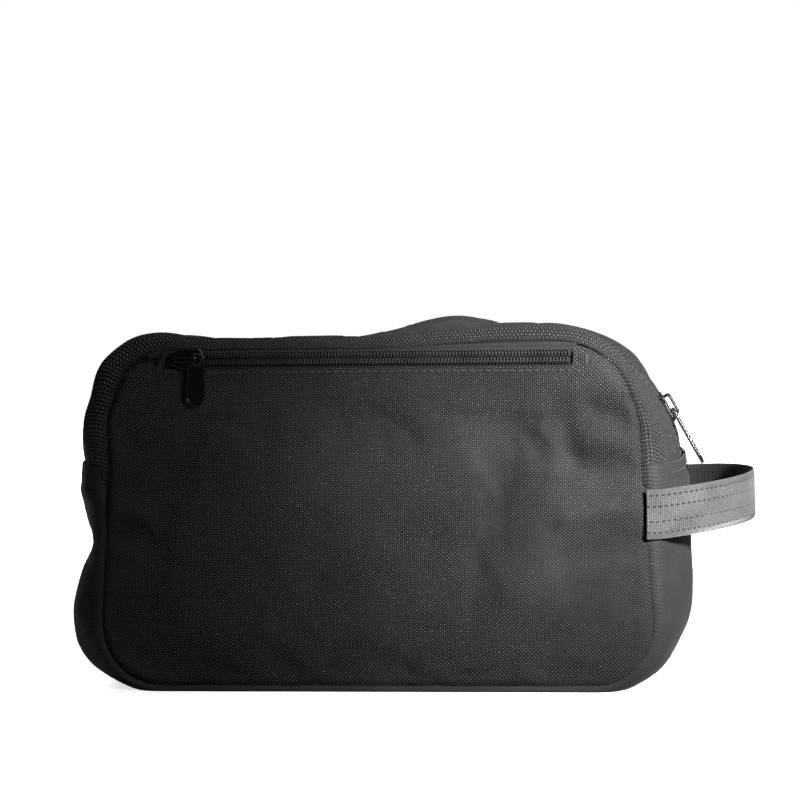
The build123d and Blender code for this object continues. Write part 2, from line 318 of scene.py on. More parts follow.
def strip_stations():
    """Across the front zip strip, from inside the seam to its folded edge at the zip."""
    rows = seam_stations() + [(y, bulge_at(y), 0.0) for y in np.linspace(-38.5, -ZIP_EDGE - 1.6, 14)]
    return rows + [(-ZIP_EDGE - 0.8, 1.0, 0.05), (-ZIP_EDGE - 0.2, 1.0, 0.3), (-ZIP_EDGE, 1.0, 0.75)]


def base_stations():
    rows = seam_stations()
    middle = [(y, bulge_at(y), 0.0) for y in np.linspace(-38.5, 38.5, 32)]
    return rows + middle + [(-y, b, e) for y, b, e in rows[::-1]]


# ------------ cloth

def relaxed(points, faces, held, pressure, cap, grow=0.012, frames=16):
    """The sheet after a short cloth simulation, its held points fixed and its slack pushed outward."""
    obj = mesh_object("cloth_work", points, faces)
    group = obj.vertex_groups.new(name="held")
    for weight in np.unique(np.round(held, 2)):
        if weight > 0:
            group.add([int(k) for k in np.nonzero(np.round(held, 2) == weight)[0]], float(weight), "REPLACE")
    cloth = obj.modifiers.new("cloth", "CLOTH")
    s = cloth.settings
    s.quality = 5
    s.mass = 0.25
    s.vertex_group_mass = "held"
    s.pin_stiffness = 4.0
    s.tension_stiffness = s.compression_stiffness = 22.0
    s.shear_stiffness = 9.0
    s.bending_stiffness = 1.6
    s.air_damping = 4.0
    s.shrink_min = -grow
    s.use_pressure = True
    s.uniform_pressure_force = pressure
    s.effector_weights.gravity = 0.0
    cloth.collision_settings.use_collision = False
    cloth.point_cache.frame_start, cloth.point_cache.frame_end = 1, frames + 1
    scene = bpy.context.scene
    for f in range(1, frames + 1):
        scene.frame_set(f)
    solved = obj.evaluated_get(bpy.context.evaluated_depsgraph_get()).to_mesh()
    now = np.empty(len(points) * 3, np.float32)
    solved.vertices.foreach_get("co", now)
    move = now.reshape(-1, 3) / MM - points
    scene.frame_set(1)
    bpy.data.objects.remove(obj)
    size = lengths(move)
    print("cloth", len(points), "moved up to", round(float(size.max()), 2), "mm")
    return points + move * np.minimum(1, cap / np.maximum(size, 1e-6))


# ------------ materials

class Wire:
    """A node socket that arithmetic can be written with."""

    def __init__(self, tree, socket):
        self.tree, self.socket = tree, socket

    def do(self, kind, *others):
        node = self.tree.nodes.new("ShaderNodeMath")
        node.operation = kind
        for slot, value in zip(node.inputs, (self, *others)):
            if isinstance(value, Wire):
                self.tree.links.new(value.socket, slot)
            else:
                slot.default_value = value
        return Wire(self.tree, node.outputs[0])

    def __add__(self, other):
        return self.do("ADD", other)

    def __sub__(self, other):
        return self.do("SUBTRACT", other)

    def __mul__(self, other):
        return self.do("MULTIPLY", other)

    def wave(self):
        """0 to 1 and back once in each whole step."""
        return (self * math.pi).do("SINE").do("ABSOLUTE")


class Look:
    """A material being wired up."""

    def __init__(self, name):
        self.material = bpy.data.materials.new(name)
        self.material.use_nodes = True
        self.tree = self.material.node_tree
        self.surface = self.tree.nodes["Principled BSDF"]

    def node(self, kind, **inputs):
        node = self.tree.nodes.new("ShaderNode" + kind)
        for key, value in inputs.items():
            self.put(value, node.inputs[key])
        return node

    def put(self, value, slot):
        if isinstance(value, Wire):
            self.tree.links.new(value.socket, slot)
        else:
            slot.default_value = value

    def set(self, **values):
        for key, value in values.items():
            self.put(value, self.surface.inputs[key.replace("_", " ")])

    def uv(self):
        """The cloth's own coordinates, in millimetres."""
        out = self.node("UVMap")
        out.uv_map = "cloth"
        split = self.node("SeparateXYZ")
        self.tree.links.new(out.outputs[0], split.inputs[0])
        return Wire(self.tree, split.outputs[0]), Wire(self.tree, split.outputs[1])

    def noise(self, size_mm, detail=3.0, rough=0.55):
        place = self.node("TexCoord")
        node = self.node("TexNoise", Scale=1000.0 / size_mm, Detail=detail, Roughness=rough)
        self.tree.links.new(place.outputs["Object"], node.inputs["Vector"])
        return Wire(self.tree, node.outputs[0])

    def fade(self, wire, low, high, to_low=0.0, to_high=1.0):
        node = self.tree.nodes.new("ShaderNodeMapRange")
        names = ("Value", "From Min", "From Max", "To Min", "To Max")
        for slot, value in zip(names, (wire, low, high, to_low, to_high)):
            self.put(value, node.inputs[slot])
        return Wire(self.tree, node.outputs[0])

    def vary(self, noise, low, high):
        return self.fade(noise, 0.3, 0.7, low, high)

    def colour(self, wire, dark, light):
        ramp = self.tree.nodes.new("ShaderNodeMix")
        ramp.data_type = "RGBA"
        self.put(wire, ramp.inputs["Factor"])
        ramp.inputs[6].default_value = (*dark, 1)
        ramp.inputs[7].default_value = (*light, 1)
        return Wire(self.tree, ramp.outputs[2])

    def bump(self, height, depth_mm, strength=1.0, rounded_mm=0.0):
        node = self.node("Bump", Height=height, Strength=strength, Distance=depth_mm * MM)
        if rounded_mm:
            edge = self.node("Bevel", Radius=rounded_mm * MM)
            edge.samples = 6
            self.tree.links.new(edge.outputs[0], node.inputs["Normal"])
        self.tree.links.new(node.outputs[0], self.surface.inputs["Normal"])


def grey(level, warm=1.0):
    return (level * warm, level, level * (2 - warm))


def plain_weave(look, u, v, pitch_u, pitch_v):
    """Height of a plain weave: every second crossing stands up."""
    a, b = u * (1 / pitch_u), v * (1 / pitch_v)
    over = (a.do("FLOOR") + b.do("FLOOR")).do("FLOORED_MODULO", 2.0)
    pillow = (a.wave() * b.wave()).do("POWER", 0.6)
    return pillow * (over * 0.74 + 0.26)


def coated_canvas(name, relief=1.0):
    """Black oxford canvas under a waxy coating."""
    look = Look(name)
    u, v = look.uv()
    drift = look.noise(14, 2) - 0.5
    u, v = u + drift * 1.1, v + drift * 0.8
    weave = plain_weave(look, u, v, 0.80, 0.71)
    slub = look.noise(1.6, 3)
    patch = look.noise(46, 4, 0.6)
    wear = look.fade(patch, 0.38, 0.68)
    height = weave + slub * 0.22
    seen = weave * relief + (1 - relief) * 0.5
    # painted shade and highlight: the base colour follows the weave's height, darker in the crevices between
    # crossings and lighter on their raised tops
    tone = (seen * 0.85 + slub * 0.25) * (wear * 0.5 + 0.7)
    look.set(Base_Color=look.colour(tone, grey(0.0012), grey(0.027, 0.99)),
             Roughness=look.fade(seen + wear * 0.35, 0.0, 1.3, 0.56, 0.36),
             Specular_IOR_Level=look.fade(seen, 0.1, 0.9, 0.06, 0.36 + 0.46 * relief),
             Sheen_Weight=0.02, Sheen_Roughness=0.4)
    look.bump(height, 0.46 * relief, 1.0)
    return look.material


def lining_cloth(name):
    look = Look(name)
    u, v = look.uv()
    weave = plain_weave(look, u, v, 0.4, 0.4)
    patch = look.noise(30, 3)
    look.set(Base_Color=look.colour(weave * 0.5 + patch * 0.5, grey(0.008), grey(0.03)),
             Roughness=look.vary(patch, 0.5, 0.68), Specular_IOR_Level=0.35)
    look.bump(weave + patch * 0.6, 0.12, 0.6)
    return look.material


def tape_cloth(name):
    """Close twill of a zip tape, ribs along its length."""
    look = Look(name)
    u, v = look.uv()
    rib = (v * 1.5).wave()
    twill = ((u + v) * 1.25).wave()
    fuzz = look.noise(0.9, 3)
    look.set(Base_Color=look.colour(rib * 0.4 + twill * 0.4 + fuzz * 0.3, grey(0.003), grey(0.014)),
             Roughness=look.vary(fuzz, 0.62, 0.8), Specular_IOR_Level=0.22, Sheen_Weight=0.02)
    look.bump(rib * 0.5 + twill * 0.6 + fuzz * 0.3, 0.26, 0.9)
    return look.material


def coil_nylon(name):
    look = Look(name)
    grain = look.noise(0.7, 3)
    patch = look.noise(9, 2)
    look.set(Base_Color=look.colour(patch, grey(0.006), grey(0.018)),
             Roughness=look.vary(patch, 0.42, 0.56), Specular_IOR_Level=0.36)
    look.bump(grain, 0.03, 0.5)
    return look.material


def thread(name, level):
    """Twisted sewing thread."""
    look = Look(name)
    u, v = look.uv()
    ply = (u * 1.9 + v * 0.9).wave()
    fuzz = look.noise(0.5, 2)
    look.set(Base_Color=look.colour(ply * 0.8 + fuzz * 0.2, grey(level * 0.4), grey(level * 1.3)),
             Roughness=look.vary(fuzz, 0.42, 0.6), Specular_IOR_Level=0.45)
    look.bump(ply + fuzz * 0.3, 0.09, 0.8)
    return look.material


def enamel(name):
    """Gloss black enamel on die-cast metal, its sharp edges painted lighter as a highlight."""
    look = Look(name)
    flow = look.noise(2.4, 2)
    fine = look.noise(0.35, 2)
    edge = look.node("NewGeometry")
    # painted highlight: the base colour turns lighter on sharp convex edges, where the lamps would catch
    edge_glint = look.fade(Wire(look.tree, edge.outputs["Pointiness"]), 0.53, 0.60)
    tone = edge_glint * look.fade(fine, 0.35, 0.65)
    look.set(Base_Color=look.colour(tone, grey(0.002), grey(0.03)), Metallic=0.0,
             Roughness=look.vary(flow, 0.12, 0.24), Specular_IOR_Level=0.6,
             Coat_Weight=0.4, Coat_Roughness=0.1)
    look.bump(flow * 0.7 + fine * 0.1, 0.03, 0.4, rounded_mm=0.35)
    return look.material


def ribs_and_cords(u, v):
    return (u * (1 / 0.92)).wave(), (v * (1 / 0.74)).wave()


def handle_webbing(name):
    """Grey webbing: fine cross ribs, herringbone edges and four rows of dark dashes along it."""
    look = Look(name)
    u, v = look.uv()
    half = WEBBING_WIDTH / 2
    rib, cord = ribs_and_cords(u, v)
    far = v.do("ABSOLUTE")
    edge = look.fade(far, half - 2.7, half - 2.3)
    slant = (u + far * 1.1) * (1 / 1.1)
    herring = slant.wave()
    body = (rib * 0.62 + cord * 0.38)
    height = body * (edge * -1.0 + 1.0) + herring * edge
    rows = None
    for k, place in enumerate((-half + 2.6, -half * 0.3, half * 0.3, half - 2.6)):
        near = look.fade((v - place).do("ABSOLUTE"), 0.22, 0.46, 1.0, 0.0)
        along = ((u + k * 1.3) * (1 / 2.5)).do("FRACT")
        dash = near * look.fade(along, 0.46, 0.54, 1.0, 0.0)
        rows = dash if rows is None else rows.do("MAXIMUM", dash)
    patch = look.noise(11, 3)
    fibre = look.noise(0.8, 3)
    tone = (height * 0.62 + fibre * 0.3 + look.fade(patch, 0.35, 0.65) * 0.28) * (rows * -0.92 + 1.0)
    look.set(Base_Color=look.colour(tone, grey(0.004), grey(0.042)),
             Roughness=look.vary(fibre, 0.46, 0.62), Specular_IOR_Level=0.5,
             Sheen_Weight=0.08, Sheen_Roughness=0.4)
    look.bump(height + fibre * 0.35 - rows * 0.6, 0.34, 0.9)
    return look.material


def backing_webbing(name):
    look = Look(name)
    u, v = look.uv()
    rib, cord = ribs_and_cords(u, v)
    fibre = look.noise(0.8, 3)
    look.set(Base_Color=look.colour(rib * 0.5 + cord * 0.3 + fibre * 0.2, grey(0.004), grey(0.022)),
             Roughness=look.vary(fibre, 0.6, 0.75), Specular_IOR_Level=0.35)
    look.bump(rib * 0.7 + cord * 0.3 + fibre * 0.3, 0.3, 0.9)
    return look.material


def board_sheet(name):
    look = Look(name)
    grain = look.noise(1.2, 4)
    cloud = look.noise(25, 2)
    look.set(Base_Color=look.colour(cloud, grey(0.01), grey(0.03)),
             Roughness=look.vary(grain, 0.5, 0.7))
    look.bump(grain, 0.06, 0.5)
    return look.material


CANVAS = coated_canvas("coated_canvas")
SMOOTHER_CANVAS = coated_canvas("coated_canvas_base", 0.35)
LINING_CLOTH = lining_cloth("lining_cloth")
TAPE_CLOTH = tape_cloth("zip_tape_cloth")
COIL_NYLON = coil_nylon("coil_nylon")
BLACK_THREAD = thread("black_thread", 0.024)
ENAMEL = enamel("black_enamel")
WEBBING = handle_webbing("grey_webbing")
BACKING = backing_webbing("black_webbing")
BOARD = board_sheet("board_sheet")


# ------------ placing pieces

def placed(obj, material, body=None, replaces=()):
    obj.data.materials.clear()
    obj.data.materials.append(material)
    if body:
        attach(obj, body)
    if replaces:
        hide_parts(*replaces)
    return obj


def opened(obj):
    """Bakes the piece's placement into its mesh."""
    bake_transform(obj)


ENDS = {"front": 1, "back": -1}
SIDES = {"right": 1, "left": -1}
FRONTWARD, BACKWARD = np.array([0, -1, 0]), np.array([0, 1, 0])


def end_flip(points, end):
    return points * np.array([1, ENDS[end], 1])


def end_cloth(name, points, faces, uv, thickness, end):
    """A thick sheet modelled at the front, mirrored if it belongs to the back."""
    faces = faces if end == "front" else faces[:, ::-1]
    return mesh_object(name, *thicken(end_flip(points, end), faces, uv, thickness))


# ------------ gusset cloth

def gusset_cloth(name, grid, uv, thickness, hold=None, sim=None):
    """A thick gusset sheet from an unsoftened grid."""
    n, m = grid.shape[:2]
    flat = soften(grid.reshape(-1, 3))
    k = (n // 2) * m + m // 2
    away = np.array([flat[k][0], 0, flat[k][2] - 70])
    faces = facing(flat, grid_faces(n, m), away, k)
    if sim:
        flat = relaxed(flat, faces, hold.ravel(), *sim)
        flat[:, 2] = np.maximum(flat[:, 2], 0.02)
    solid, all_faces, all_uv = thicken(flat, faces, uv.reshape(-1, 2), thickness)
    solid[:, 2] = np.maximum(solid[:, 2], 0.0)
    return mesh_object(name, solid, all_faces, all_uv)


def held_near(values, edges, width):
    """1 at the given places, falling to 0 within width of them."""
    d = np.min([np.abs(values - e) for e in edges], axis=0)
    return 1 - smooth(d / width)


strips = {}
for side_name, side in SIDES.items():
    grid, uv = gusset_grid(strip_stations(), HEM_Z - 7, None, 116, side)
    hold = held_near(grid[..., 1], (-SEAM_Y, -ZIP_EDGE), 6.0)
    hold = np.maximum(hold, held_near(grid[..., 0], (0.0,), 10.0))
    hold = np.maximum(hold, held_near(grid[..., 2], (HEM_Z - 7,), 13.0))
    for end in ENDS:
        g = end_flip(grid, end)
        strip = gusset_cloth(f"{end}_zip_strip_{side_name}", g, uv, FABRIC, hold, (3.0, 1.6))
        placed(strip, CANVAS, None, (f"{end}_shoulder_gussets", f"{end}_lip_gusset"))
        strips[end, side] = strip
        opened(strip)


def base_half(side):
    grid, uv = gusset_grid(base_stations(), None, HEM_Z + 1.2, 96, side)
    lap = 1.7 * smooth((grid[..., 2] - 76) / 8) + 0.7 * bell(grid[..., 2] - HEM_Z, 2.2) * bell(grid[..., 1], 14)
    grid[..., 0] += side * lap
    return grid, uv


def both_halves(right, left):
    """One grid and uv from the gusset's right and left halves, joined at the bottom's middle."""
    (right_grid, right_uv), (left_grid, left_uv) = right, left
    return (np.concatenate([left_grid[::-1], right_grid[1:]]),
            np.concatenate([left_uv[::-1] * np.array([-1, 1]), right_uv[1:]]))


base_grid, base_uv = both_halves(base_half(1), base_half(-1))
hold = held_near(base_grid[..., 1], (-SEAM_Y, SEAM_Y), 5.0)
hold = np.maximum(hold, held_near(base_grid[..., 2], (HEM_Z,), 9.0))
hold = np.maximum(hold, 1 - smooth((base_grid[..., 2] - 1.0) / 12))
base = gusset_cloth("base_gusset_cloth", base_grid, base_uv, FABRIC, hold, (3.0, 3.0))
placed(base, SMOOTHER_CANVAS, "shell", ("base_gusset",))

# ------------ panels

def seam_loop(inset=0.0, count=420):
    """The seam's closed outline in x and z, from the bottom's middle to the right and round."""
    right_half = half_outline(0.0, inset, 1)
    left_half = half_outline(0.0, inset, -1) * np.array([-1, 1])
    loop = np.vstack([right_half, left_half[::-1][1:-1]])
    return resample(np.vstack([loop, loop[:1]]), count + 1)[:-1]


def crown(x, z):
    across = 1 - (np.abs(x) / 120.0) ** 4
    upright = 1 - ((z - 73.5) / 72.5) ** 2
    return 4.6 * np.maximum(across, 0) * np.maximum(upright, 0)


def edge_distance(points, loop):
    d = np.full(len(points), 1e9)
    for a, b in zip(loop, np.roll(loop, -1, axis=0)):
        ab = b - a
        t = np.clip(((points - a) @ ab) / (ab @ ab), 0, 1)
        d = np.minimum(d, np.linalg.norm(points - a - t[:, None] * ab, axis=1))
    return d


def in_loop(points, loop):
    inside = np.zeros(len(points), bool)
    x, z = points[:, 0], points[:, 1]
    for (x1, z1), (x2, z2) in zip(loop, np.roll(loop, 1, axis=0)):
        crosses = (z1 > z) != (z2 > z)
        inside ^= crosses & (x < (x2 - x1) * (z - z1) / (z2 - z1 + 1e-12) + x1)
    return inside


def net(loop, step):
    """Triangles that fill a closed outline, with even points inside."""
    low, high = loop.min(0), loop.max(0)
    rows = np.arange(low[1] + step / 2, high[1], step * 0.87)
    columns = np.arange(low[0], high[0], step)
    inside = np.array([(x + (step / 2 if j % 2 else 0), z) for j, z in enumerate(rows) for x in columns])
    inside = inside[in_loop(inside, loop)]
    inside = inside[edge_distance(inside, loop) > 0.6 * step]
    edges = [(k, (k + 1) % len(loop)) for k in range(len(loop))]
    verts = [Vector(v) for v in np.vstack([loop, inside])]
    out = delaunay_2d_cdt(verts, edges, [list(range(len(loop)))], 1, 1e-5)
    return np.array([v[:] for v in out[0]]), np.array([f for f in out[2] if len(f) == 3])


def arc_points(cx, cz, r, start, end, count=8):
    t = np.radians(np.linspace(start, end, count))
    return np.stack([cx + r * np.cos(t), cz + r * np.sin(t)], 1)


def slotted_loop(loop):
    """The seam outline with the pocket slot cut out of its top edge."""
    x, z = loop[:, 0], loop[:, 1]
    top = (z > 125) & (x < SLOT_RIGHT - 4.6) & (x > SLOT_LEFT + 2.5)
    first = int(np.nonzero(top)[0][0])
    last = int(np.nonzero(top)[0][-1])
    right_end = arc_points(SLOT_RIGHT - 5, 138.4, 5, 85, 0, 8)
    low_right = arc_points(SLOT_RIGHT - 1.2, SLOT_Z + 1.2, 1.2, 0, -90, 4)
    bottom = np.stack([np.linspace(SLOT_RIGHT - 3, SLOT_LEFT + 5, 110), np.full(110, SLOT_Z)], 1)
    low_left = arc_points(SLOT_LEFT + 3, SLOT_Z + 3, 3, 270, 180, 5)
    return np.vstack([loop[:first], right_end, low_right, bottom, low_left, loop[last + 1:]])


def panel_folds(x, z):
    """Soft creases of the front panel, as offsets outward."""

    def fold(x1, z1, x2, z2, width, depth):
        a, b = np.array([x1, z1]), np.array([x2, z2])
        p = np.stack([x, z], 1)
        t = np.clip((p - a) @ (b - a) / ((b - a) @ (b - a)), 0, 1)
        d = np.linalg.norm(p - a - t[:, None] * (b - a), axis=1)
        return depth * np.exp(-((d / width) ** 2))

    out = fold(114, 78, 80, 73, 5.0, 3.0) + fold(113, 91, 85, 95, 5.5, -3.0)
    out += fold(113, 64, 80, 56, 6.0, -3.2) + fold(79, 112, 82, 98, 5.0, -2.4)
    out += fold(91, 117, 103, 112, 4.5, -2.2) + fold(86, 125, 98, 128, 6.0, 1.3)
    out += fold(90, 107, 100, 103, 5.5, 2.0) + fold(60, 104, 44, 62, 12, -1.5)
    out += fold(70, 76, 56, 44, 10, 1.2) + fold(-113, 78, -92, 73, 5.0, 1.3)
    out += fold(-113, 68, -94, 64, 5.5, -1.5) + fold(-96, 112, -84, 92, 9, -1.0)
    out += fold(-20, 20, 60, 16, 14, 0.6) + fold(60, 40, 104, 30, 9, 1.0)
    pillow = np.maximum(1 - ((x - 10) / 108) ** 2, 0) * np.maximum(1 - ((z - 62) / 52) ** 2, 0)
    return out + 2.6 * pillow


def panel_cloth(name, outline, hold_slot, end):
    loop = seam_loop(0.2)
    flat, tris = net(outline, 2.3)
    rim = edge_distance(flat, loop)
    y = -(51.3 + crown(flat[:, 0], flat[:, 1]) + panel_folds(*flat.T) * smooth(rim / 6)) + 4.4 * bell(rim, 2.1)
    points = np.stack([flat[:, 0], y, flat[:, 1]], 1)
    seam = end_flip(np.stack([flat[:, 0], np.full(len(flat), -SEAM_Y), flat[:, 1]], 1), end)
    follows = 1 - smooth(rim / 22)
    if hold_slot:
        by_slot = smooth((93 - np.abs(flat[:, 0] + 4)) / 10) * smooth((flat[:, 1] - 112) / 8)
        follows = follows * (1 - by_slot) + by_slot * (1 - smooth((SEAM_TOP - flat[:, 1]) / 8))
    points += end_flip(soften(seam) - seam, end) * follows[:, None]
    slot_edge = edge_distance(flat, outline)
    held = np.maximum(1 - smooth(rim / 6), 1 - smooth(slot_edge / 5))
    if hold_slot:
        held = np.maximum(held, smooth((flat[:, 1] - 114) / 10) * (np.abs(flat[:, 0]) < 96))
    tris = facing(points, tris, FRONTWARD)
    points = relaxed(points, tris, held, 2.0, 1.0)
    return end_cloth(name, points, tris, flat, FABRIC, end)


front_panel = panel_cloth("front_panel_cloth", slotted_loop(seam_loop(0.2)), True, "front")
placed(front_panel, CANVAS, "shell", ("front_panel",))
back_panel = panel_cloth("back_panel_cloth", seam_loop(0.2), False, "back")
placed(back_panel, CANVAS, "shell", ("back_panel",))

# ------------ thin tapes and linings along the gusset

def gusset_sheet(name, stations, z_from, z_to, count, side, inset, thickness, end="front"):
    grid, uv = gusset_grid(stations, z_from, z_to, count, side, inset)
    return gusset_cloth(name, end_flip(grid, end), uv, thickness)


TAPE_STATIONS = [(y, bulge_at(y), 0.0) for y in np.linspace(-12.0, -0.45, 12)]
LINING_STATIONS = [(y, bulge_at(y), 0.0) for y in np.linspace(-46.6, -11.0, 16)]
BASE_LINING_STATIONS = [(y, bulge_at(y), 0.0) for y in np.linspace(-46.6, 46.6, 34)]

for side_name, side in SIDES.items():
    for end in ENDS:
        tape = gusset_sheet(f"{end}_main_tape_{side_name}", TAPE_STATIONS, HEM_Z - 12, None, 110, side,
                            TAPE_DEPTH, TAPE, end)
        placed(tape, TAPE_CLOTH, None, ("main_tape_shoulders", f"{end}_lip_tape"))
        opened(tape)
        lining = gusset_sheet(f"{end}_strip_lining_{side_name}", LINING_STATIONS, HEM_Z - 10, None, 90, side,
                              2.35, LINING, end)
        placed(lining, LINING_CLOTH, None, ("shoulder_linings", f"{end}_lip_lining"))
        opened(lining)

lining_halves = [gusset_grid(BASE_LINING_STATIONS, None, HEM_Z - 0.6, 70, side, 1.7) for side in (1, -1)]
base_lining = gusset_cloth("base_lining_cloth", *both_halves(*lining_halves), 0.3)
placed(base_lining, LINING_CLOTH, "shell", ("base_lining",))


def panel_lining(end):
    """The cloth behind a panel, hanging a little slack."""
    outline = seam_loop(2.6, 300)
    flat, tris = net(outline, SHEET_NET)
    rim = edge_distance(flat, outline)
    x, z = flat.T
    slack = 0.5 * np.sin(x / 17 + 0.6 * np.sin(z / 23)) * np.sin(z / 31 + 0.4) + 0.45
    y = -(46.85 + slack * smooth(rim / 14))
    points = np.stack([x, y, z], 1)
    cloth = end_cloth(f"{end}_lining_cloth", points, facing(points, tris, FRONTWARD), flat, 0.35, end)
    placed(cloth, LINING_CLOTH, "shell", (f"{end}_lining",))


def seam_binding(end):
    """The tape folded over the seam allowance, all round the inside of a seam."""
    turn = np.linspace(0, 2 * math.pi, 17)[:-1]
    across = np.stack([0.95 * np.sign(np.cos(turn)) * np.abs(np.cos(turn)) ** 0.6,
                       0.95 * np.sign(np.sin(turn)) * np.abs(np.sin(turn)) ** 0.6], 1)
    loop = seam_loop(3.25, 360)
    tangent = np.roll(loop, -1, axis=0) - np.roll(loop, 1, axis=0)
    tangent /= lengths(tangent)
    out = np.stack([tangent[:, 1], -tangent[:, 0]], 1)
    ripple = 1 + 0.04 * np.sin(np.arange(len(loop)) * 0.9)
    xz = loop[:, None] + out[:, None] * across[None, :, :1] * ripple[:, None, None]
    y = -45.8 + across[None, :, 1] * np.ones((len(loop), 1))
    points = np.concatenate([xz[..., :1], y[..., None], xz[..., 1:]], -1).reshape(-1, 3)
    faces = np.vstack([grid_faces(len(loop), 16, True), closing_faces(len(loop), 16)])
    uv = uv_grid(np.arange(len(loop)) * 2.0, turn * 0.95)
    if end == "back":
        faces = faces[:, ::-1]
    band = mesh_object(f"{end}_seam_binding_tape", end_flip(points, end), faces, uv)
    placed(band, TAPE_CLOTH, "shell", (f"{end}_seam_binding",))


def closing_faces(n, m):
    """Quads that join the last row of a ring grid to its first."""
    j = np.arange(m)
    k = (j + 1) % m
    return np.stack([(n - 1) * m + j, j, k, (n - 1) * m + k], -1)


for end in ENDS:
    panel_lining(end)
    seam_binding(end)


# ------------ zip coils

def tube(path, radius, sides=6):
    """A round wire along a path, with uv along and around it. radius may be one per point."""
    n = len(path)
    radius = np.broadcast_to(radius, (n,))
    tangent = np.gradient(path, axis=0)
    tangent /= np.maximum(lengths(tangent), 1e-9)
    helper = np.tile([0.0, 1.0, 0.0], (n, 1))
    steep = np.abs(tangent[:, 1]) > 0.8
    helper[steep] = [1.0, 0.0, 0.0]
    a = np.cross(tangent, helper)
    a /= lengths(a)
    b = np.cross(tangent, a)
    turn = np.linspace(0, 2 * math.pi, sides + 1)[:-1]
    ring = path[:, None] + radius[:, None, None] * (
        np.cos(turn)[None, :, None] * a[:, None] + np.sin(turn)[None, :, None] * b[:, None])
    faces = [tuple(int(k) for k in f) for f in grid_faces(n, sides, True)[:, ::-1]]
    faces += [tuple(range(sides)), tuple(range(n * sides - 1, (n - 1) * sides - 1, -1))]
    return ring.reshape(-1, 3), faces, uv_grid(run_of(path), turn * radius.mean())


def coil_local(length, sign, phase):
    """One side of a coil chain, as (along, across, up): a flattened spiral."""
    turns = length / TOOTH_PITCH
    t = np.linspace(0, turns, int(turns * 10) + 1)
    angle = 2 * math.pi * (t + phase)
    squared = np.sign(np.cos(angle)) * np.abs(np.cos(angle)) ** 0.75
    along = t * TOOTH_PITCH
    across = sign * (1.5 + 1.3 * squared)
    up = 0.92 + 0.5 * np.sin(angle)
    return along, across, up


def chain_path(side, inset):
    """The main chain's line over one half of the bag from hem to the top's middle, with its outward normals."""
    path = half_outline(1.0, inset, side)
    path = path[path[:, 1] > HEM_Z - 11]
    path[:, 0] *= side
    path = resample(path, 900)
    tangent = np.gradient(path, axis=0)
    tangent /= lengths(tangent)
    normal = np.stack([tangent[:, 1], -tangent[:, 0]], 1) * side
    return path, normal


def main_coil(end, side):
    path, normal = chain_path(side, TAPE_DEPTH)
    s = run_of(path)
    along, across, up = coil_local(s[-1] - 0.3, -ENDS[end], 0.5 if end == "back" else 0.0)
    x, z = (at(along, s, path) + up[:, None] * at(along, s, normal)).T
    spiral = tube(soften(np.stack([x, across, z], 1)), COIL_WIRE)
    x, z = at(np.linspace(0, s[-1], 300), s, path + normal * CORD_UP).T
    core = tube(soften(np.stack([x, np.full(300, -ENDS[end] * CORD_ACROSS), z], 1)), COIL_CORD)
    name = f"{end}_main_coil_{'right' if side > 0 else 'left'}"
    coil = mesh_object(name, *join([spiral, core]))
    placed(coil, COIL_NYLON, None, ("main_coil_shoulders", f"{end}_lip_coil"))
    opened(coil)


for end in ENDS:
    for side in SIDES.values():
        main_coil(end, side)


# ------------ pocket zip and pouch

POCKET_LEFT, POCKET_RIGHT = -93.0, 84.4
POCKET_COIL_LEFT, POCKET_COIL_RIGHT = -84.5, 81.6


def pocket_tape(side, name):
    reach = 4.9 if side > 0 else 8.4
    xs = np.linspace(POCKET_LEFT, POCKET_RIGHT, 240)
    steps = np.linspace(0.35, reach, 12)
    grid = np.empty((len(xs), len(steps), 3))
    grid[..., 0] = xs[:, None]
    grid[..., 2] = POCKET_Z + side * steps[None, :]
    wave = 0.12 * np.sin(xs / 9.0)[:, None] * (steps / reach)[None, :]
    grid[..., 1] = POCKET_TAPE_Y - 0.05 - wave
    near_end = smooth((np.abs(xs + 1) - 84) / 8)[:, None]
    grid[..., 1] += 0.5 * near_end
    top = smooth((grid[..., 2] - 141.2) / 2.6)
    grid[..., 1] += 1.6 * top
    grid[..., 2] += (seam_rise(grid[..., 0]) + 1.6) * top
    points = grid.reshape(-1, 3)
    faces = facing(points, grid_faces(*grid.shape[:2]), FRONTWARD)
    tape = mesh_object(name, *thicken(points, faces, uv_grid(xs, steps), 0.55))
    placed(tape, TAPE_CLOTH, "shell", (f"pocket_tape_{'upper' if side > 0 else 'lower'}",))


def pocket_coil(side, name):
    along, across, up = coil_local(POCKET_COIL_RIGHT - POCKET_COIL_LEFT, side, 0.5 if side > 0 else 0.0)
    wire = np.stack([POCKET_COIL_LEFT + along, POCKET_TAPE_Y - up, POCKET_Z + across], 1)
    cord = np.array([[x, POCKET_TAPE_Y - CORD_UP, POCKET_Z + side * CORD_ACROSS]
                     for x in (POCKET_COIL_LEFT, POCKET_COIL_RIGHT)])
    parts = [tube(wire, COIL_WIRE), tube(resample(cord, 80), COIL_CORD)]
    coil = mesh_object(name, *join(parts))
    placed(coil, COIL_NYLON, "shell", (f"pocket_coil_{'upper' if side > 0 else 'lower'}",))


pocket_tape(1, "pocket_tape_upper_cloth")
pocket_tape(-1, "pocket_tape_lower_cloth")
pocket_coil(1, "pocket_coil_upper_wire")
pocket_coil(-1, "pocket_coil_lower_wire")


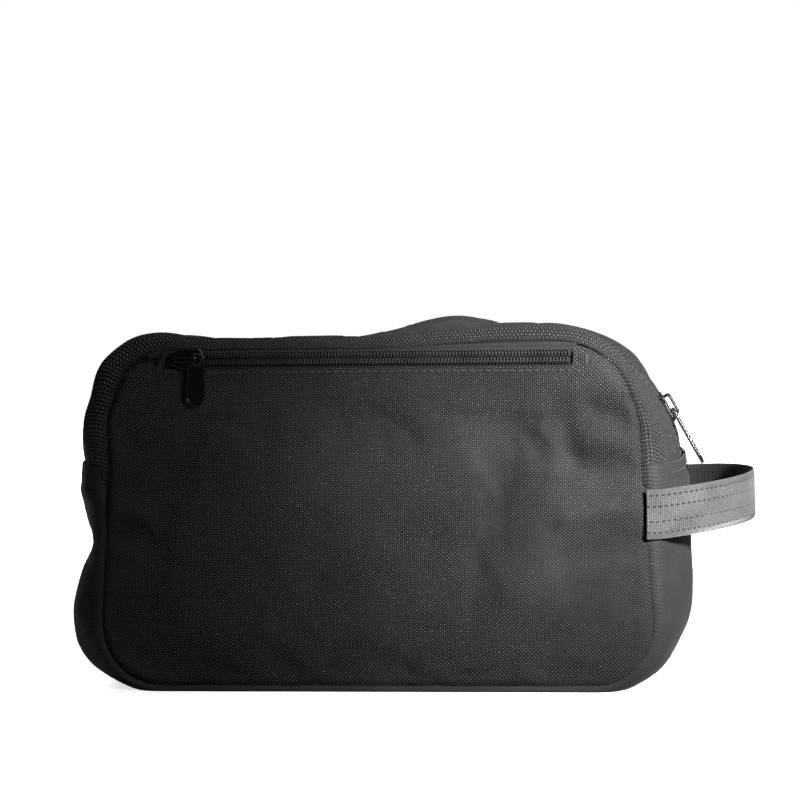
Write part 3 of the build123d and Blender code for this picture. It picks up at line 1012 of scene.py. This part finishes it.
def folded_zip_end():
    """The pocket tape's end turned down on the skew at the slot's left end."""
    u = np.linspace(0, 1, 12)
    v = np.linspace(0, 1, 8)
    grid = np.empty((12, 8, 3))
    along = u[:, None] * np.ones(8)
    across = v[None, :] * np.ones((12, 1))
    grid[..., 0] = -90.2 + 3.2 * along + 3.6 * across - 0.9 * along * across
    grid[..., 2] = 135.2 + 6.4 * across - 0.5 * along
    grid[..., 1] = POCKET_TAPE_Y - 0.5 - 1.0 * np.sin(math.pi * (0.15 + 0.7 * along)) - 0.2 * across
    points = grid.reshape(-1, 3)
    faces = facing(points, grid_faces(12, 8), FRONTWARD, 40)
    uv = np.stack([along * 4, across * 6.5], -1).reshape(-1, 2)
    fold = mesh_object("pocket_zip_end_fold", *thicken(points, faces, uv, 0.5))
    placed(fold, TAPE_CLOTH, "shell")


folded_zip_end()


def pouch():
    """The pocket's pouch: two plies sewn together round the sides and foot."""
    outline = np.vstack([[[-85.5, 138.6]], arc_points(-79.5, 30.5, 6, 180, 270), arc_points(79.5, 30.5, 6, 270, 360),
                         [[85.5, 138.6]]])
    outline = resample(np.vstack([outline, outline[:1]]), 221)[:-1]
    flat, tris = net(outline, SHEET_NET)
    rim = edge_distance(flat, outline)
    x, z = flat.T
    soft = smooth(rim / 12)
    slack = 0.25 * np.sin(x / 13 + z / 40) * np.sin(z / 19)
    parts = []
    front, back = -49.45 - 0.35 * soft + slack * soft, -48.85 + 0.3 * soft + slack * soft
    for y, outward in ((front, FRONTWARD), (back, BACKWARD)):
        points = np.stack([x, y, z], 1)
        parts.append(thicken(points, facing(points, tris, outward), flat, 0.3))
    placed(mesh_object("pocket_pouch", *join(parts)), LINING_CLOTH, "shell", ("pocket_bag",))


pouch()

# ------------ handle

def handle_line(offset, count):
    """The handle's line in plan, offset outward, with its heights: from inside the front seam to the back one."""
    t = np.radians(np.linspace(-79.5, 79.5, count))
    radius = HANDLE_R + offset
    bow = 0.35 * np.cos(t)
    x = HANDLE_X + (radius + bow) * np.cos(t)
    y = radius * np.sin(t)
    z = HANDLE_Z + np.maximum(x - HANDLE_HINGE_X, 0) * math.tan(HANDLE_RISE)
    return np.stack([x, y, z], 1), t


def ribbon(name, offset, thickness, width, wobble, material, replaces):
    line, t = handle_line(offset, 150)
    s = run_of(line)
    out = np.stack([np.cos(t), np.sin(t), np.zeros_like(t)], 1)
    half = np.linspace(-1, 1, 17)
    section = [(h * width / 2, thickness * 0.5 * (1 - abs(h) ** 10) ** 0.5) for h in half]
    section += [(h * width / 2, -thickness * 0.5 * (1 - abs(h) ** 10) ** 0.5) for h in half[::-1][1:-1]]
    section = np.array(section)
    lean = wobble * np.sin(s / 17)
    rise = section[None, :, 0] * np.ones((len(t), 1))
    depth = section[None, :, 1] + lean[:, None] * section[None, :, 0] / width
    depth = depth + 0.25 * np.sin(s / 6.1)[:, None] * (np.abs(section[None, :, 0]) / width) ** 2
    points = line[:, None] + out[:, None] * depth[..., None] + np.array([0, 0, 1.0]) * rise[..., None]
    n, m = points.shape[:2]
    faces = [tuple(int(k) for k in f) for f in grid_faces(n, m, True)]
    faces += [tuple(range(m - 1, -1, -1)), tuple(range((n - 1) * m, n * m))]
    strap = mesh_object(name, points.reshape(-1, 3), faces, uv_grid(s, section[:, 0]))
    placed(strap, material, None, replaces)
    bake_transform(strap)


HANDLE_NODES = ("handle_ends", "handle_loop")
ribbon("handle_webbing_outer", 0.45, 1.05, WEBBING_WIDTH, 0.5, WEBBING, HANDLE_NODES)
ribbon("handle_webbing_backing", -0.52, 0.8, WEBBING_WIDTH - 0.8, 0.5, BACKING, HANDLE_NODES)


# ------------ stitches

def tree_of(obj):
    mesh = obj.data
    co = np.empty(len(mesh.vertices) * 3, np.float32)
    mesh.vertices.foreach_get("co", co)
    points = [Vector(p) for p in co.reshape(-1, 3) / MM]
    return BVHTree.FromPolygons(points, [tuple(p.vertices) for p in mesh.polygons])


def on_surface(tree, point):
    """The nearest place on a piece and its normal there."""
    place, normal, _, _ = tree.find_nearest(Vector(point))
    return np.array(place), np.array(normal)


def stitch(a, b, normal, radius):
    """One thread run that dives at both ends."""
    t = np.array([0, 0.07, 0.25, 0.5, 0.75, 0.93, 1.0])
    lift = radius * np.array([-1.3, -0.2, 0.42, 0.55, 0.42, -0.2, -1.3])
    path = a + (b - a) * t[:, None] + normal * lift[:, None]
    return tube(path, radius * np.array([0.6, 0.9, 1.0, 1.0, 1.0, 0.9, 0.6]))


def pressed_stitch(tree, start, end, radius):
    """One stitch between two places, pressed onto a piece."""
    (a, n1), (b, n2) = on_surface(tree, start), on_surface(tree, end)
    return stitch(a, b, (n1 + n2) / 2, radius)


def stitch_run(line, tree, pitch=STITCH, radius=THREAD):
    """Stitches along a line, pressed onto a piece."""
    length = np.linalg.norm(np.diff(line, axis=0), axis=1).sum()
    count = max(int(length / pitch), 1)
    s = run_of(line)
    reach = (pitch - STITCH_GAP) / 2
    parts = []
    for k in range(count):
        middle = (k + 0.5) * length / count
        parts.append(pressed_stitch(tree, *at([middle - reach, middle + reach], s, line), radius))
    return parts


def thread_piece(name, parts, body="shell"):
    return placed(mesh_object(name, *join(parts)), BLACK_THREAD, body)


def outside_line(side, y, z_from, lift=1.5, count=260):
    """A line just outside the gusset at one place across the bag, up to the top's middle."""
    path = half_outline(bulge_at(y), -lift, side)
    path = resample(path[(path[:, 1] > z_from) & (path[:, 0] >= 0.0)], count)
    return soften(np.stack([side * path[:, 0], np.full(count, y), path[:, 1]], 1))


for side_name, side in SIDES.items():
    for end in ENDS:
        line = outside_line(side, -7.4 * ENDS[end], HEM_Z + 1.0)
        run = stitch_run(line, tree_of(strips[end, side]))
        opened(thread_piece(f"{end}_zip_stitches_{side_name}", run, None))

base_tree = tree_of(base)
parts = []
row_z = HEM_Z - 2.6
for side in SIDES.values():
    hem_line = []
    for y in np.linspace(-43.5, 43.5, 90):
        path = half_outline(bulge_at(y), -4.0, side)
        path = path[path[:, 1] > 60]
        hem_line.append((side * np.interp(row_z, path[:, 1], path[:, 0]), y, row_z))
    parts += stitch_run(soften(np.array(hem_line)), base_tree)
thread_piece("hem_stitches", parts)

panel_tree = tree_of(front_panel)
slot_row = np.stack([np.linspace(SLOT_LEFT + 1, SLOT_RIGHT + 3.5, 200), np.full(200, -53.5),
                     np.full(200, SLOT_Z - 1.6)], 1)
end_row = np.stack([np.full(20, SLOT_RIGHT + 1.6), np.full(20, -53.5), np.linspace(SLOT_Z - 1.0, 142.0, 20)], 1)
bar = [pressed_stitch(panel_tree, (87.8, -54, z), (89.2, -54, z), 0.2) for z in np.linspace(136.4, 140.2, 11)]
thread_piece("pocket_slot_stitches", stitch_run(slot_row, panel_tree, radius=0.26)
             + stitch_run(end_row, panel_tree, 3.0, 0.24))
thread_piece("pocket_bar_tack", bar)

# ------------ CAD nodes that stay

KEPT = {"base_board": BOARD}
KEPT.update((name, ENAMEL) for name in ("main_slider", "main_pull", "pocket_slider", "pocket_pull"))
for name, material in KEPT.items():
    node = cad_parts[name]
    for slot_here in node.material_slots:
        slot_here.material = material
    if not node.material_slots:
        node.data.materials.append(material)

# ------------ stage, light, camera

bpy.ops.mesh.primitive_plane_add(size=30)
floor = bpy.context.object
floor.name = "floor"
paper = Look("floor_paper")
speck = paper.noise(4, 4)
glow = Wire(paper.tree, paper.node("LightPath").outputs["Is Camera Ray"])
paper.set(Base_Color=paper.colour((speck * 0.1 + 0.9) * (glow * 0.8 + 0.2), grey(0.0), grey(1.0)),
          Roughness=0.9, Specular_IOR_Level=0.0)
spot = paper.node("VectorMath")
spot.operation = "LENGTH"
paper.tree.links.new(paper.node("TexCoord").outputs["Object"], spot.inputs[0])
sweep = paper.fade(Wire(paper.tree, spot.outputs["Value"]), 0.2, 0.8, 0.72, 1.0)
paper.set(Emission_Color=(1, 1, 1, 1), Emission_Strength=glow * sweep)
floor.data.materials.append(paper.material)

world = bpy.data.worlds.new("studio")
world.use_nodes = True
nodes, links = world.node_tree.nodes, world.node_tree.links
seen = nodes["Background"]
seen.inputs[0].default_value = (1, 1, 1, 1)
seen.inputs[1].default_value = 1.0
lit = nodes.new("ShaderNodeBackground")
lit.inputs[0].default_value = (0.98, 0.99, 1.0, 1)
lit.inputs[1].default_value = 0.03
ray = nodes.new("ShaderNodeLightPath")
both = nodes.new("ShaderNodeMixShader")
links.new(ray.outputs["Is Camera Ray"], both.inputs[0])
links.new(lit.outputs[0], both.inputs[1])
links.new(seen.outputs[0], both.inputs[2])
links.new(both.outputs[0], nodes["World Output"].inputs["Surface"])
bpy.context.scene.world = world


def lamp(name, kind, place, aim, power, glossy):
    data = bpy.data.lights.new(name, kind)
    data.energy = power
    obj = new_object(name, data)
    obj.location = place
    obj.rotation_euler = (Vector(aim) - Vector(place)).to_track_quat("-Z", "Y").to_euler()
    obj.visible_glossy = glossy
    return data


def softbox(name, place, aim, width, height, power, glossy=True):
    data = lamp(name, "AREA", place, aim, power, glossy)
    data.shape = "RECTANGLE"
    data.size, data.size_y = width, height


def snooted_lamp(name, power, glossy=True):
    """A soft lamp whose pool of light fades from its middle to its edge."""
    data = lamp(name, "SPOT", KEY_PLACE, KEY_AIM, power, glossy)
    data.spot_size = math.radians(17)
    data.spot_blend = 1.0
    data.shadow_soft_size = 0.05


KEY_PLACE, KEY_AIM = (0.62, -0.66, 0.42), (0.125, -0.05, 0.120)
snooted_lamp("key_lamp", 70)
snooted_lamp("key_lamp_diffused", 300, glossy=False)
softbox("back_softbox", (-0.5, 1.2, 0.45), (0, 0, 0.07), 0.5, 0.4, 30, glossy=False)
softbox("fill_softbox", (0.40, -0.60, 0.36), (0.08, 0, 0.08), 0.34, 0.30, 3)
softbox("top_softbox", (0.2, 0.1, 1.1), (0, 0, 0.1), 0.8, 0.6, 3)

camera_data = bpy.data.cameras.new("camera")
camera = new_object("camera", camera_data)
AZIMUTH, PITCH_DOWN, DISTANCE = math.radians(6.0), math.radians(4.2), 1.30
HALF_VIEW = math.radians(7.2)
ROLLED = math.radians(0.8)  # the photographer's camera leaned a little
target = Vector((0.0119, -0.052, 0.1215))
back_off = Vector((math.sin(AZIMUTH) * math.cos(PITCH_DOWN), -math.cos(AZIMUTH) * math.cos(PITCH_DOWN),
                   math.sin(PITCH_DOWN)))
camera.location = target + back_off * DISTANCE
level = (-back_off).to_track_quat("-Z", "Y")
camera.rotation_euler = (level @ Quaternion((0, 0, 1), -ROLLED)).to_euler()
camera_data.sensor_width = 36.0
camera_data.lens = camera_data.sensor_width / 2 / math.tan(HALF_VIEW)
camera_data.clip_end = 50
bpy.context.scene.camera = camera
bpy.context.scene.view_settings.view_transform = "Standard"
